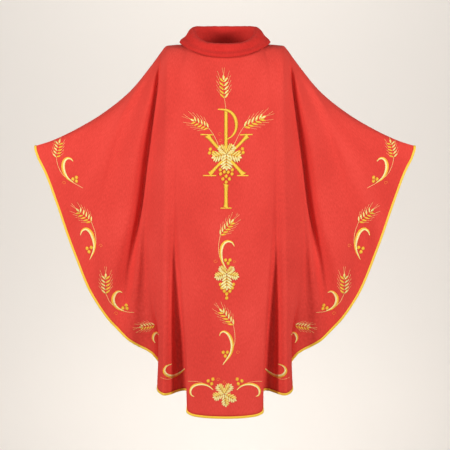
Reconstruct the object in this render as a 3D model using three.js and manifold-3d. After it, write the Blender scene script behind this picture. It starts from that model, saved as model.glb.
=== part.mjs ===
// A full Gothic chasuble: a wide sleeveless church vestment of red woven cloth with a rolled collar,
// a gold hem binding and raised gold embroidery.
//
// Millimetres, +Z up. The origin is the centre of the neck opening, level with the shoulder line.
// +X runs to the wearer's left and the front of the garment faces -Y.
//
// The front and the back are one sheet of cloth each. A sheet is described by its fall lines: the
// lines that run from the neck or the shoulder ridge down to the hem, along the crests and valleys
// of the folds. They are drawn once, at the drawn size below, and graded to the garment's own size.
import * as THREE from "three";
import { mergeVertices } from "three/addons/utils/BufferGeometryUtils.js";
import Module from "manifold-3d";

const wasm = await Module();
wasm.setup();

// Overall sizes of the garment.
const halfSpan = 655; // centre line to wing tip
const garmentLength = 1283; // shoulder line to the bottom of the cloth
const frontReach = 142; // shoulder line to the furthest point of the front
const backReach = 128; // shoulder line to the furthest point of the back

// The size that the fall lines and the embroidery places are drawn at.
const drawnHalfSpan = 655;
const drawnLength = 1283;
const drawnReach = 142;

// Cloth, trimmings and thread.
const clothThickness = 2;
const clearance = 0.3; // between pieces that lie on each other
const seamWidth = 9; // each side of the shoulder seam tape
const tapeThickness = 0.8;
const facingWidth = 32; // neck facing, from the neckline down
const facingThickness = 0.8;
const bindingWidth = 8;
const bindingThickness = 3.4;
const threadThickness = 0.9; // height of one layer of embroidery
const stalkWidth = 3.2;
const awnWidth = 3;
const grapeRadius = 6.4;

// Neckline: an oval that dips at the front.
const neckHalfWidth = 118;
const neckFrontDepth = 98;
const neckBackDepth = 86;
const neckFrontDrop = 38;
const neckBackDrop = 8;

// Rolled collar: a stand rises from the neckline to the crest and the fall turns down outside it.
const crestHalfWidth = 106;
const crestFrontDepth = 80;
const crestBackDepth = 72;
const crestFrontHeight = 0;
const crestBackHeight = 57;
const fallHalfWidth = 157; // the fall's lower edge
const fallFrontDepth = 108;
const fallBackDepth = 112;
const fallSideHeight = 5;
const fallFrontHeight = -45;
const fallBackHeight = -4;
const fallThickness = 5;
const standThickness = 3;
const interfacingThickness = 1.2;

const red = { color: 0xe4382c, roughness: 0.85, metalness: 0 };
const innerRed = { color: 0xc92a22, roughness: 0.9, metalness: 0 };
const gold = { color: 0xf2b92e, roughness: 0.45, metalness: 0.25 };
const paleGold = { color: 0xf6dc8c, roughness: 0.4, metalness: 0.2 };
const canvas = { color: 0xe9e2d2, roughness: 0.95, metalness: 0 };

const group = new THREE.Group();

function addPiece(name, geometry, finish) {
  const piece = new THREE.Mesh(geometry, new THREE.MeshStandardMaterial(finish));
  piece.name = name;
  group.add(piece);
}

// ---------------------------------------------------------------- Solids from points

const vector = (x, y, z) => new THREE.Vector3(x, y, z);

function signedVolume(points, triangles) {
  let volume = 0;
  for (let i = 0; i < triangles.length; i += 3) {
    const [a, b, c] = [0, 1, 2].map((k) => points[triangles[i + k]]);
    volume += a.dot(b.clone().cross(c)) / 6;
  }
  return volume;
}

// A closed body from points and triangles, turned so that its faces point out.
function closedBody(points, triangles) {
  const outward = signedVolume(points, triangles) > 0 ? triangles : triangles.slice().reverse();
  const geometry = new THREE.BufferGeometry();
  geometry.setAttribute("position", new THREE.Float32BufferAttribute(points.flatMap((p) => p.toArray()), 3));
  geometry.setIndex(outward);
  geometry.computeVertexNormals();
  return geometry;
}

// A body swept through a row of polygons with equally many corners, as a ring or with end caps.
function sweep(sections, ring) {
  const corners = sections[0].length;
  const points = sections.flat();
  const triangles = [];
  const steps = ring ? sections.length : sections.length - 1;
  for (let s = 0; s < steps; s += 1) {
    const here = s * corners;
    const there = ((s + 1) % sections.length) * corners;
    for (let k = 0; k < corners; k += 1) {
      const next = (k + 1) % corners;
      triangles.push(here + k, there + k, there + next, here + k, there + next, here + next);
    }
  }
  if (!ring) {
    const last = (sections.length - 1) * corners;
    for (let k = 1; k < corners - 1; k += 1) {
      triangles.push(0, k, k + 1);
      triangles.push(last, last + k + 1, last + k);
    }
  }
  return closedBody(points, triangles);
}

// A sheet between two grids of points, which are lists of columns.
function sheet(outer, inner) {
  const columns = outer.length;
  const rows = outer[0].length;
  const points = [...outer.flat(), ...inner.flat()];
  const triangles = [];
  const at = (column, row, skin) => (skin * columns + column) * rows + row;
  const quad = (a, b, c, d) => triangles.push(a, b, c, a, c, d);
  for (let c = 0; c < columns - 1; c += 1) {
    for (let r = 0; r < rows - 1; r += 1) {
      quad(at(c, r, 0), at(c + 1, r, 0), at(c + 1, r + 1, 0), at(c, r + 1, 0));
      quad(at(c, r, 1), at(c, r + 1, 1), at(c + 1, r + 1, 1), at(c + 1, r, 1));
    }
    quad(at(c, 0, 0), at(c, 0, 1), at(c + 1, 0, 1), at(c + 1, 0, 0));
    quad(at(c, rows - 1, 0), at(c + 1, rows - 1, 0), at(c + 1, rows - 1, 1), at(c, rows - 1, 1));
  }
  for (let r = 0; r < rows - 1; r += 1) {
    quad(at(0, r, 0), at(0, r + 1, 0), at(0, r + 1, 1), at(0, r, 1));
    quad(at(columns - 1, r, 0), at(columns - 1, r, 1), at(columns - 1, r + 1, 1), at(columns - 1, r + 1, 0));
  }
  return closedBody(points, triangles);
}

function toManifold(geometry) {
  const bare = geometry.clone();
  bare.deleteAttribute("normal");
  bare.deleteAttribute("uv");
  const merged = mergeVertices(bare, 1e-4);
  const vertProperties = new Float32Array(merged.attributes.position.array);
  const triVerts = new Uint32Array(merged.index.array);
  return new wasm.Manifold(new wasm.Mesh({ numProp: 3, vertProperties, triVerts }));
}

function fromManifold(solid) {
  const mesh = solid.getMesh();
  const geometry = new THREE.BufferGeometry();
  geometry.setAttribute("position", new THREE.Float32BufferAttribute(mesh.vertProperties, 3));
  geometry.setIndex(Array.from(mesh.triVerts));
  geometry.computeVertexNormals();
  return geometry;
}

// ---------------------------------------------------------------- The cloth

const spanGrade = halfSpan / drawnHalfSpan;
// A change in length is taken up below the shoulders, so that the neck and the collar keep their fit.
const fittedDepth = 120;
const lengthGrade = (garmentLength - fittedDepth) / (drawnLength - fittedDepth);
const gradedHeight = (z) => (z > -fittedDepth ? z : -fittedDepth + (z + fittedDepth) * lengthGrade);

const front = { side: -1, reach: frontReach, neckDepth: neckFrontDepth, neckDrop: neckFrontDrop };
const back = { side: 1, reach: backReach, neckDepth: neckBackDepth, neckDrop: neckBackDrop };

// Points are (across, away from the shoulder line, up) until the panel gives them their side.
function fallLines(panel) {
  const at = (x, away, z) => vector(x * spanGrade, (away * panel.reach) / drawnReach, gradedHeight(z));
  const neck = (degrees) => {
    const angle = THREE.MathUtils.degToRad(degrees);
    const away = Math.max(panel.neckDepth * Math.cos(angle), clearance);
    return vector(neckHalfWidth * Math.sin(angle), away, -panel.neckDrop * Math.cos(angle) ** 2);
  };
  const ridge = (x, z) => vector(x * spanGrade, clearance, gradedHeight(z));
  return {
    centre: [neck(0), at(0, 124, -110), at(0, 137, -230), at(0, 142, -628), at(0, 140, -950), at(0, 137, -1283)],
    chest: [neck(22), at(42, 122, -110), at(42, 135, -230), at(43, 141, -628), at(42, 137, -1282)],
    breast: [neck(44), at(85, 90, -44), at(86, 114, -100), at(87, 130, -210), at(87, 139, -628), at(84, 134, -1279)],
    panelSide: [neck(62), at(112, 72, -27), at(118, 104, -84), at(120, 125, -200), at(121, 138, -628), at(115, 131, -1273)],
    panelEdge: [neck(77), at(126, 52, -15), at(142, 94, -74), at(150, 121, -194), at(151, 138, -628),
      at(143, 137, -892), at(134, 132, -1060), at(131, 126, -1262)],
    panelReturn: [neck(90), at(136, 44, -14), at(158, 92, -80), at(166, 118, -194), at(167, 134, -628),
      at(153, 108, -892), at(137, 92, -1060), at(127, 88, -1195)],
    deepValley: [ridge(146, -1), at(154, 42, -14), at(170, 90, -80), at(177, 116, -194), at(176, 127, -628),
      at(171, 90, -888), at(167, 62, -1040), at(156, 50, -1196)],
    tubeInside: [ridge(168, -2), at(172, 42, -16), at(182, 88, -80), at(188, 115, -194), at(191, 133, -628),
      at(190, 119, -888), at(188, 104, -1060), at(186, 92, -1203)],
    tubeCrest: [ridge(188, -4), at(191, 40, -18), at(198, 84, -70), at(202, 111, -194), at(205, 136, -628),
      at(208, 133, -888), at(210, 127, -1040), at(211, 122, -1204)],
    tubeEdge: [ridge(199, -5), at(202, 38, -20), at(207, 74, -64), at(213, 99, -194), at(222, 112, -368),
      at(232, 118, -628), at(232, 112, -888), at(230, 98, -1040), at(235, 88, -1187)],
    hiddenFold: [ridge(203, -6), at(206, 36, -22), at(211, 68, -62), at(222, 88, -194), at(240, 94, -368),
      at(260, 94, -628), at(248, 82, -888), at(220, 48, -1030), at(213, 42, -1128)],
    wingLap: [ridge(205, -7), at(208, 34, -24), at(213, 64, -60), at(227, 83, -194), at(245, 87, -368),
      at(270, 87, -628), at(264, 72, -888), at(250, 52, -1010), at(252, 48, -1067)],
    lowValley: [ridge(207, -9), at(210, 32, -26), at(215, 60, -58), at(232, 78, -194), at(250, 81, -368),
      at(278, 79, -628), at(281, 64, -780), at(286, 52, -900), at(292, 36, -1046)],
    lowCrest: [ridge(210, -12), at(213, 30, -28), at(218, 57, -58), at(236, 74, -194), at(257, 77, -368),
      at(290, 78, -628), at(305, 76, -784), at(322, 60, -900), at(330, 42, -1024)],
    mainValley: [ridge(214, -17), at(217, 27, -32), at(222, 48, -60), at(241, 55, -194), at(265, 48, -368),
      at(292, 40, -576), at(333, 46, -784), at(371, 37, -984)],
    wingCrest: [ridge(220, -25), at(224, 26, -42), at(236, 56, -90), at(260, 82, -194), at(300, 87, -368),
      at(330, 82, -576), at(392, 72, -800), at(409, 48, -941)],
    wingValley: [ridge(232, -42), at(240, 25, -58), at(258, 50, -104), at(300, 60, -194), at(380, 60, -368),
      at(432, 58, -590), at(461, 42, -861)],
    armLower: [ridge(264, -85), at(274, 26, -100), at(300, 48, -146), at(346, 60, -240), at(414, 64, -420),
      at(484, 40, -812)],
    arm: [ridge(330, -164), at(338, 25, -178), at(360, 46, -222), at(430, 60, -368), at(489, 54, -576),
      at(503, 38, -764)],
    armOuter: [ridge(423, -239), at(430, 22, -252), at(448, 38, -288), at(496, 48, -400), at(540, 32, -667)],
    wing: [ridge(515, -294), at(522, 17, -307), at(538, 27, -346), at(566, 30, -430), at(582, 24, -545)],
    wingEnd: [ridge(602, -335), at(606, 9, -345), at(612, 14, -370), at(620, 14, -443)],
    wingTip: [ridge(655, -352), at(655, 6, -362), at(651, 9, -376), at(644, 10, -396)],
  };
}

const lineNames = Object.keys(fallLines(front));
const lineIndex = Object.fromEntries(lineNames.map((name, index) => [name, index]));
const lastLine = lineNames.length - 1;
const firstRidgeLine = lineIndex.panelReturn;
const evenRows = 9;

// Rows lie at the seam's and the facing's width below the top edge, and then evenly to the hem.
function pointsDown(line) {
  const curve = new THREE.CatmullRomCurve3(line, false, "centripetal");
  const length = curve.getLength();
  const seamRow = Math.min(seamWidth, length / 8);
  const facingRow = Math.min(facingWidth, length / 4);
  const places = [0, seamRow, facingRow];
  for (let i = 1; i <= evenRows; i += 1) {
    places.push(facingRow + ((length - facingRow) * i) / evenRows);
  }
  return places.map((place) => curve.getPointAt(Math.min(place / length, 1)));
}

function clothGrid(panel) {
  const half = Object.values(fallLines(panel)).map(pointsDown);
  const points = [];
  for (let c = -lastLine; c <= lastLine; c += 1) {
    const mirror = Math.sign(c) || 1;
    points.push(half[Math.abs(c)].map((p) => vector(mirror * p.x, panel.side * p.y, p.z)));
  }
  const rows = points[0].length;
  const normals = points.map((column, c) => column.map((_, r) => {
    const across = points[Math.min(c + 1, points.length - 1)][r].clone().sub(points[Math.max(c - 1, 0)][r]);
    const down = column[Math.min(r + 1, rows - 1)].clone().sub(column[Math.max(r - 1, 0)]);
    const normal = across.cross(down).multiplyScalar(panel.side);
    const onRidge = r === 0 && Math.abs(c - lastLine) >= firstRidgeLine;
    if (onRidge) {
      normal.y = 0;
    }
    return normal.normalize();
  }));
  return { ...panel, points, normals, rows };
}

// The grid pushed along its normals by a height, between two fall lines and two rows.
function lifted(grid, height, firstColumn, lastColumn, firstRow, lastRow) {
  const columns = [];
  for (let c = firstColumn; c <= lastColumn; c += 1) {
    const column = [];
    for (let r = firstRow; r <= lastRow; r += 1) {
      column.push(grid.points[c][r].clone().addScaledVector(grid.normals[c][r], height));
    }
    columns.push(column);
  }
  return columns;
}

function layer(grid, low, high, firstColumn, lastColumn, firstRow, lastRow) {
  const outer = lifted(grid, high, firstColumn, lastColumn, firstRow, lastRow);
  const inner = lifted(grid, low, firstColumn, lastColumn, firstRow, lastRow);
  return sheet(outer, inner);
}

const frontCloth = clothGrid(front);
const backCloth = clothGrid(back);
const halfCloth = clothThickness / 2;
const allColumns = 2 * lastLine;
const allRows = frontCloth.rows - 1;

addPiece("front_panel", layer(frontCloth, -halfCloth, halfCloth, 0, allColumns, 0, allRows), red);
addPiece("back_panel", layer(backCloth, -halfCloth, halfCloth, 0, allColumns, 0, allRows), red);

// Neck facings: strips inside the neckline, from one shoulder seam to the other.
const facingTop = -halfCloth - clearance;
const facingFirst = lastLine - lineIndex.panelEdge;
const facingLast = lastLine + lineIndex.panelEdge;
for (const [name, grid] of [["neck_facing_front", frontCloth], ["neck_facing_back", backCloth]]) {
  const strip = layer(grid, facingTop - facingThickness, facingTop, facingFirst, facingLast, 0, 2);
  addPiece(name, strip, innerRed);
}

// Shoulder seam tapes: under the seam, from the neckline to the last fold before the wing tip.
function seamTape(sign) {
  const sections = [];
  for (let c = lineIndex.deepValley; c <= lineIndex.wing; c += 1) {
    const column = lastLine + sign * c;
    const under = (grid, row, depth) => (
      grid.points[column][row].clone().addScaledVector(grid.normals[column][row], -depth)
    );
    const top = halfCloth + 2 * clearance;
    const bottom = top + tapeThickness;
    sections.push([
      under(frontCloth, 1, top), under(frontCloth, 0, top), under(backCloth, 0, top), under(backCloth, 1, top),
      under(backCloth, 1, bottom), under(backCloth, 0, bottom), under(frontCloth, 0, bottom),
      under(frontCloth, 1, bottom),
    ]);
  }
  return sweep(sections, false);
}
addPiece("shoulder_seam_tape_left", seamTape(1), innerRed);
addPiece("shoulder_seam_tape_right", seamTape(-1), innerRed);

const sideBox = 4 * garmentLength; // holds all that is on one side of the shoulder line

// Hem binding: a folded strip along the wing tip, the hem and the other wing tip of one panel.
function hemBinding(grid) {
  const edge = [];
  for (let r = 0; r < allRows; r += 1) {
    edge.push([0, r, 1, r]);
  }
  for (let c = 0; c <= allColumns; c += 1) {
    edge.push([c, allRows, c, allRows - 1]);
  }
  for (let r = allRows - 1; r >= 0; r -= 1) {
    edge.push([allColumns, r, allColumns - 1, r]);
  }
  const pointAt = ([c, r]) => grid.points[c][r];
  const sections = edge.map((place, i) => {
    const before = pointAt(edge[Math.max(i - 1, 0)]);
    const after = pointAt(edge[Math.min(i + 1, edge.length - 1)]);
    const along = after.clone().sub(before).normalize();
    const normal = grid.normals[place[0]][place[1]].clone();
    const out = along.clone().cross(normal).normalize();
    const inwards = grid.points[place[2]][place[3]].clone().sub(pointAt(place));
    if (out.dot(inwards) > 0) {
      out.negate();
    }
    if (place[1] === 0) {
      out.y = 0;
      out.normalize();
    }
    const near = pointAt(place).clone().addScaledVector(out, clearance);
    const far = near.clone().addScaledVector(out, bindingWidth);
    const half = bindingThickness / 2;
    return [
      near.clone().addScaledVector(normal, half), far.clone().addScaledVector(normal, half),
      far.clone().addScaledVector(normal, -half), near.clone().addScaledVector(normal, -half),
    ];
  });
  const ownSide = new THREE.BoxGeometry(sideBox, sideBox, sideBox);
  ownSide.translate(0, grid.side * (sideBox / 2 + clearance), 0);
  const cloth = layer(grid, -halfCloth - clearance, halfCloth + clearance, 0, allColumns, 0, allRows);
  const strip = toManifold(sweep(sections, false));
  return fromManifold(strip.subtract(toManifold(cloth)).intersect(toManifold(ownSide)));
}
addPiece("hem_binding_front", hemBinding(frontCloth), gold);
addPiece("hem_binding_back", hemBinding(backCloth), gold);

// ---------------------------------------------------------------- The rolled collar

// Angles run from the centre front, 0, round the wearer's left to the centre back, half a turn.
const ringSteps = 32;
const blend = (from, to, share) => from + (to - from) * share;

function ovalPoint(angle, halfWidth, frontDepth, backDepth, z) {
  const depth = Math.cos(angle) > 0 ? frontDepth : backDepth;
  return vector(halfWidth * Math.sin(angle), -depth * Math.cos(angle), z);
}

function collarStations(angle) {
  const forward = Math.cos(angle) > 0;
  const share = Math.min(1, 1.35 * (1 - Math.cos(angle)) / 2);
  const crestHeight = blend(crestFrontHeight, crestBackHeight, Math.sin((share * Math.PI) / 2) ** 1.4);
  const crest = ovalPoint(angle, crestHalfWidth, crestFrontDepth, crestBackDepth, crestHeight);
  const neckDrop = (forward ? neckFrontDrop : neckBackDrop) * Math.cos(angle) ** 2;
  const neckline = ovalPoint(angle, neckHalfWidth, neckFrontDepth, neckBackDepth, -neckDrop);
  const endHeight = forward ? fallFrontHeight : fallBackHeight;
  const lowerHeight = blend(fallSideHeight, endHeight, Math.abs(Math.cos(angle)) ** 1.7);
  const lowerEdge = ovalPoint(angle, fallHalfWidth, fallFrontDepth, fallBackDepth, lowerHeight);
  const out = lowerEdge.clone().sub(crest).setZ(0).normalize();
  return { crest, neckline, lowerEdge, out };
}

const up = vector(0, 0, 1);

// The direction square to a curve in an upright plane, on its upper and outer side.
function upperNormal(curve, t, out) {
  const tangent = curve.getTangent(t);
  return out.clone().multiplyScalar(-tangent.dot(up)).addScaledVector(up, tangent.dot(out)).normalize();
}

// A band with square ends along a curve through points that lie in one upright plane.
function bandSection(curvePoints, thickness, out, steps) {
  const curve = new THREE.CatmullRomCurve3(curvePoints, false, "centripetal");
  const upperSide = [];
  const lowerSide = [];
  for (let i = 0; i <= steps; i += 1) {
    const normal = upperNormal(curve, i / steps, out);
    const point = curve.getPoint(i / steps);
    upperSide.push(point.clone().addScaledVector(normal, thickness / 2));
    lowerSide.unshift(point.clone().addScaledVector(normal, -thickness / 2));
  }
  return [...upperSide, ...lowerSide];
}

function collarRing(curveAt, thickness, steps) {
  const sections = [];
  for (let i = 0; i < ringSteps; i += 1) {
    const angle = (2 * Math.PI * i) / ringSteps;
    const stations = collarStations(angle);
    sections.push(bandSection(curveAt(stations), thickness, stations.out, steps));
  }
  return sweep(sections, true);
}

const raised = (point, out, sideways, upwards) => (
  point.clone().addScaledVector(out, sideways).addScaledVector(up, upwards)
);

const leanOf = (from, to) => Math.hypot(to.x - from.x, to.y - from.y) / to.distanceTo(from);

const fallCurve = ({ crest, lowerEdge, out }) => [
  raised(crest, out, 0, 0),
  raised(crest, out, 14, 4),
  raised(crest.clone().lerp(lowerEdge, 0.55), out, 9, 9),
  raised(lowerEdge, out, 0, 0),
];
// The stand's foot is square to its slope, so its lower corner is what rests on the cloth.
const standCurve = ({ crest, neckline, out }) => [
  raised(neckline, out, -1, halfCloth + clearance + (standThickness / 2) * leanOf(neckline, crest)),
  raised(neckline.clone().lerp(crest, 0.5), out, -1, 1),
  raised(crest, out, 1, -fallThickness / 2 - 2 * clearance),
];
// The interfacing lies under the fall, a little inside it all the way.
const interfacingCurve = (stations) => {
  const fall = new THREE.CatmullRomCurve3(fallCurve(stations), false, "centripetal");
  const depth = fallThickness / 2 + 4 * clearance + interfacingThickness / 2;
  return [0.2, 0.4, 0.6].map((t) => (
    fall.getPoint(t).addScaledVector(upperNormal(fall, t, stations.out), -depth)
  ));
};
addPiece("collar_fall", collarRing(fallCurve, fallThickness, 5), red);
addPiece("collar_stand", collarRing(standCurve, standThickness, 2), red);
addPiece("collar_interfacing", collarRing(interfacingCurve, interfacingThickness, 2), canvas);

// ---------------------------------------------------------------- Embroidery outlines

// Outlines are drawn on the flat front, as (across, up) at the drawn size. A motif keeps its width
// when the garment is graded, and moves out with its anchor. Its height is graded with the cloth.
const flat = (x, z) => new THREE.Vector2(x, z);
const prismDepth = 260; // longer than the furthest cloth

function prism(outline) {
  const body = new THREE.ExtrudeGeometry(new THREE.Shape(outline), { depth: prismDepth, bevelEnabled: false });
  body.rotateX(Math.PI / 2);
  return toManifold(body);
}

const union = (solids) => solids.reduce((whole, solid) => whole.add(solid));

function disc(centre, radius, sides = 6) {
  const outline = [];
  for (let i = 0; i < sides; i += 1) {
    const angle = (2 * Math.PI * i) / sides;
    outline.push(flat(centre.x + radius * Math.cos(angle), centre.y + radius * Math.sin(angle)));
  }
  return prism(outline);
}

// A ribbon along a smooth line, with its full width at the share "fullAt" and thin ends.
function ribbon(points, width, endWidth = width, fullAt = 0.5, steps = 5) {
  const line = new THREE.SplineCurve(points);
  const left = [];
  const right = [];
  for (let i = 0; i <= steps; i += 1) {
    const t = i / steps;
    const fullness = t < fullAt ? t / fullAt : (1 - t) / (1 - fullAt);
    const half = blend(endWidth, width, Math.sin((fullness * Math.PI) / 2)) / 2;
    const point = line.getPoint(t);
    const tangent = line.getTangent(t);
    left.push(flat(point.x - tangent.y * half, point.y + tangent.x * half));
    right.unshift(flat(point.x + tangent.y * half, point.y - tangent.x * half));
  }
  return prism([...left, ...right]);
}

const bar = (from, to, width) => ribbon([from, to], width, width, 0.5, 1);

// A wheat ear: rows of grains that widen to the middle, and the bunched awns past the tip.
function wheatEar(base, tip, halfWidth, awnLength) {
  const grains = 4;
  const axis = tip.clone().sub(base);
  const side = flat(-axis.y, axis.x).normalize();
  const place = (share, offset) => base.clone().addScaledVector(axis, share).addScaledVector(side, offset);
  const left = [];
  const right = [];
  for (let i = 0; i < grains; i += 1) {
    const width = halfWidth * (0.62 + 0.38 * Math.sin((Math.PI * (i + 1)) / (grains + 1)));
    left.push(place(i / grains, 0.45 * width), place((i + 0.75) / grains, width));
    right.unshift(place((i + 0.75) / grains, -width), place(i / grains, -0.45 * width));
  }
  const awnRoot = tip.clone().addScaledVector(side, -awnWidth / 2);
  const awnTip = tip.clone().add(axis.clone().normalize().multiplyScalar(awnLength));
  const awnEnd = tip.clone().addScaledVector(side, awnWidth / 2);
  return prism([...left, awnEnd, awnTip, awnRoot, ...right].reverse());
}

// A five-lobed vine leaf: each lobe is a place for its point, with a notch before the next lobe.
function vineLeaf(centre, lobes) {
  const outline = [];
  lobes.forEach(([x, z], i) => {
    const lobe = flat(x, z).sub(centre);
    const next = flat(...lobes[(i + 1) % lobes.length]).sub(centre);
    const shoulder = (share, turn) => lobe.clone().multiplyScalar(share).rotateAround(flat(0, 0), turn).add(centre);
    outline.push(shoulder(0.82, -0.32), shoulder(1, 0), shoulder(0.82, 0.32));
    outline.push(lobe.clone().add(next).multiplyScalar(0.24).add(centre));
  });
  return prism(outline);
}

// Grapes, each tied to the nearest one before it, and the bunch to its stalk, by short stems.
function grapes(places, stalkEnds = [], grown = 0) {
  const centres = places.map(([x, z]) => flat(x, z));
  const ties = stalkEnds.map(([from, to]) => [flat(...from), flat(...to)]);
  for (let i = 1; i < centres.length; i += 1) {
    const earlier = centres.slice(0, i);
    const nearest = earlier.reduce((best, c) => (
      c.distanceTo(centres[i]) < best.distanceTo(centres[i]) ? c : best
    ));
    ties.push([nearest, centres[i]]);
  }
  return union([
    ...centres.map((centre) => disc(centre, grapeRadius + grown)),
    ...ties.map(([from, to]) => bar(from, to, stalkWidth + 2 * grown)),
  ]);
}

const line = (...points) => points.map(([x, z]) => flat(x, z));

// ---------------------------------------------------------------- Embroidery on the cloth

const layerLift = threadThickness + clearance;

// Cuts a motif's prism to a thin layer on the cloth, between two fall lines of one panel.
function stitched(grid, drawn, anchor, region, level = 0) {
  const low = halfCloth + clearance + level * layerLift;
  const [first, last] = region;
  const skin = toManifold(layer(grid, low, low + threadThickness, first, last, 0, allRows));
  const shiftX = anchor * (spanGrade - 1);
  const shiftZ = fittedDepth * (lengthGrade - 1);
  let solid = drawn.scale([1, 1, lengthGrade]);
  let shift = [shiftX, 0, shiftZ];
  if (grid.side > 0) {
    solid = solid.rotate([0, 0, 180]);
    shift = [-shiftX, 0, shiftZ];
  }
  return fromManifold(solid.translate(shift).intersect(skin));
}

const between = (from, to) => [lastLine + from, lastLine + to];
const upperMiddle = between(-lineIndex.tubeInside, lineIndex.tubeInside);
const lowerMiddle = between(-lineIndex.panelEdge, lineIndex.panelEdge);

function monogram() {
  const rhoStem = bar(flat(3.5, -221), flat(3.5, -561), 14);
  const bowl = ribbon(line([4, -223], [27, -234], [39, -260], [37, -294], [23, -314], [5, -325]), 12, 5, 0.5, 8);
  const chiThick = bar(flat(-63, -308), flat(65, -448), 14);
  const chiThin = bar(flat(79, -308), flat(-55, -448), 12);
  const serifs = [
    bar(flat(-24, -221), flat(11, -221), 6), bar(flat(-15, -561), flat(22, -561), 7),
    bar(flat(-84, -308), flat(-44, -308), 6), bar(flat(52, -308), flat(94, -308), 6),
    bar(flat(-75, -449), flat(-31, -449), 6), bar(flat(42, -449), flat(80, -449), 6),
  ];
  return union([rhoStem, bowl, chiThick, chiThin, ...serifs]);
}

const monogramLeaf = [[-20, -346], [-46, -388], [5, -431], [57, -388], [31, -343]];
const leafCentre = flat(5, -374);
const lowerGrapes = [
  [-16, -429], [-15, -443], [-2, -436], [11, -437], [25, -429], [24, -443], [4, -451], [-7, -460], [15, -460],
  [4, -471],
];
const columnLeaf = [[-19, -763], [-36, -800], [6, -844], [48, -799], [31, -764]];
const columnLeafCentre = flat(6, -787);
const columnGrapes = [
  [-16, -824], [-11, -836], [-2, -847], [29, -824], [25, -836], [17, -847], [7, -858], [6, -871], [6, -836],
];
const hemLeaf = [[-26, -1171], [-42, -1216], [3, -1248], [39, -1227], [22, -1170]];
const hemLeafCentre = flat(-2, -1204);

function columnSprayUpper() {
  return union([
    wheatEar(flat(-16, -654), flat(31, -599), 15, 22),
    ribbon(line([-14, -652], [-22, -685], [-22, -712], [-14, -738]), stalkWidth),
    ribbon(line([32, -692], [14, -675], [-6, -685], [-14, -716], [-8, -746], [5, -773]), 11, 2, 0.45, 7),
    grapes([[2, -740], [17, -740], [11, -752]], [[[2, -740], [-11, -732]]]),
  ]);
}

function columnSprayLower() {
  return union([
    wheatEar(flat(29, -964), flat(-19, -908), 15, 22),
    ribbon(line([28, -962], [34, -1000], [33, -1028], [23, -1052]), stalkWidth),
    ribbon(line([-19, -1001], [-6, -987], [15, -1002], [25, -1034], [16, -1072], [-7, -1102]), 11, 2, 0.45, 7),
    grapes([[-6, -1059], [8, -1059], [1, -1072]], [[[8, -1059], [20, -1052]]]),
  ]);
}

// The left half of the hem vine; the other half is its mirror image.
function hemScroll() {
  return union([
    ribbon(line([-27, -1198], [-60, -1176], [-90, -1174], [-114, -1190], [-102, -1215]), 10, 2, 0.5, 7),
    ribbon(line([-60, -1177], [-86, -1163], [-126, -1161]), 2.6, 1.6, 0.2, 3),
    grapes([[-58, -1158], [-43, -1152], [-45, -1167]], [[[-45, -1167], [-52, -1184]]]),
  ]);
}

const mirrored = (solid) => solid.mirror([1, 0, 0]);

const centreLine = 0;

function columnEmbroidery(grid, suffix) {
  const add = (name, drawn, region, finish, level) => {
    addPiece(`${name}_${suffix}`, stitched(grid, drawn, centreLine, region, level), finish);
  };
  const leafHoles = grapes(lowerGrapes, [], clearance);
  add("monogram", monogram(), upperMiddle, gold);
  add("monogram_leaf", vineLeaf(leafCentre, monogramLeaf).subtract(leafHoles), upperMiddle, paleGold, 1);
  add("monogram_grapes_low", grapes(lowerGrapes), upperMiddle, gold, 1);
  add("monogram_grapes_left", grapes([[-50, -358], [-53, -371], [-40, -369]]), upperMiddle, gold, 0);
  add("monogram_grapes_right", grapes([[60, -357], [49, -367], [62, -370]]), upperMiddle, gold, 0);
  const topEar = [
    wheatEar(flat(-2, -183), flat(-5, -103), 18, 24),
    ribbon(line([-2, -180], [0, -198], [3, -215]), stalkWidth),
  ];
  add("wheat_ear_top", union(topEar), upperMiddle, paleGold);
  const leftEar = [
    wheatEar(flat(-57, -285), flat(-120, -255), 16, 30),
    ribbon(line([-58, -283], [-43, -303], [-28, -330]), stalkWidth),
  ];
  add("wheat_ear_left", union(leftEar), upperMiddle, paleGold);
  const rightEar = [
    wheatEar(flat(65, -281), flat(142, -244), 16, 28),
    ribbon(line([66, -280], [53, -299], [41, -324]), stalkWidth),
  ];
  add("wheat_ear_right", union(rightEar), upperMiddle, paleGold);
  add("column_spray_upper", columnSprayUpper(), lowerMiddle, paleGold);
  add("column_leaf", vineLeaf(columnLeafCentre, columnLeaf), lowerMiddle, paleGold, 1);
  add("column_grapes", grapes(columnGrapes), lowerMiddle, gold);
  add("column_spray_lower", columnSprayLower(), lowerMiddle, paleGold);
  add("hem_leaf", vineLeaf(hemLeafCentre, hemLeaf), lowerMiddle, paleGold);
  add("hem_scroll_left", hemScroll(), lowerMiddle, gold);
  add("hem_scroll_right", mirrored(hemScroll()), lowerMiddle, gold);
}

columnEmbroidery(frontCloth, "front");
columnEmbroidery(backCloth, "back");

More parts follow.
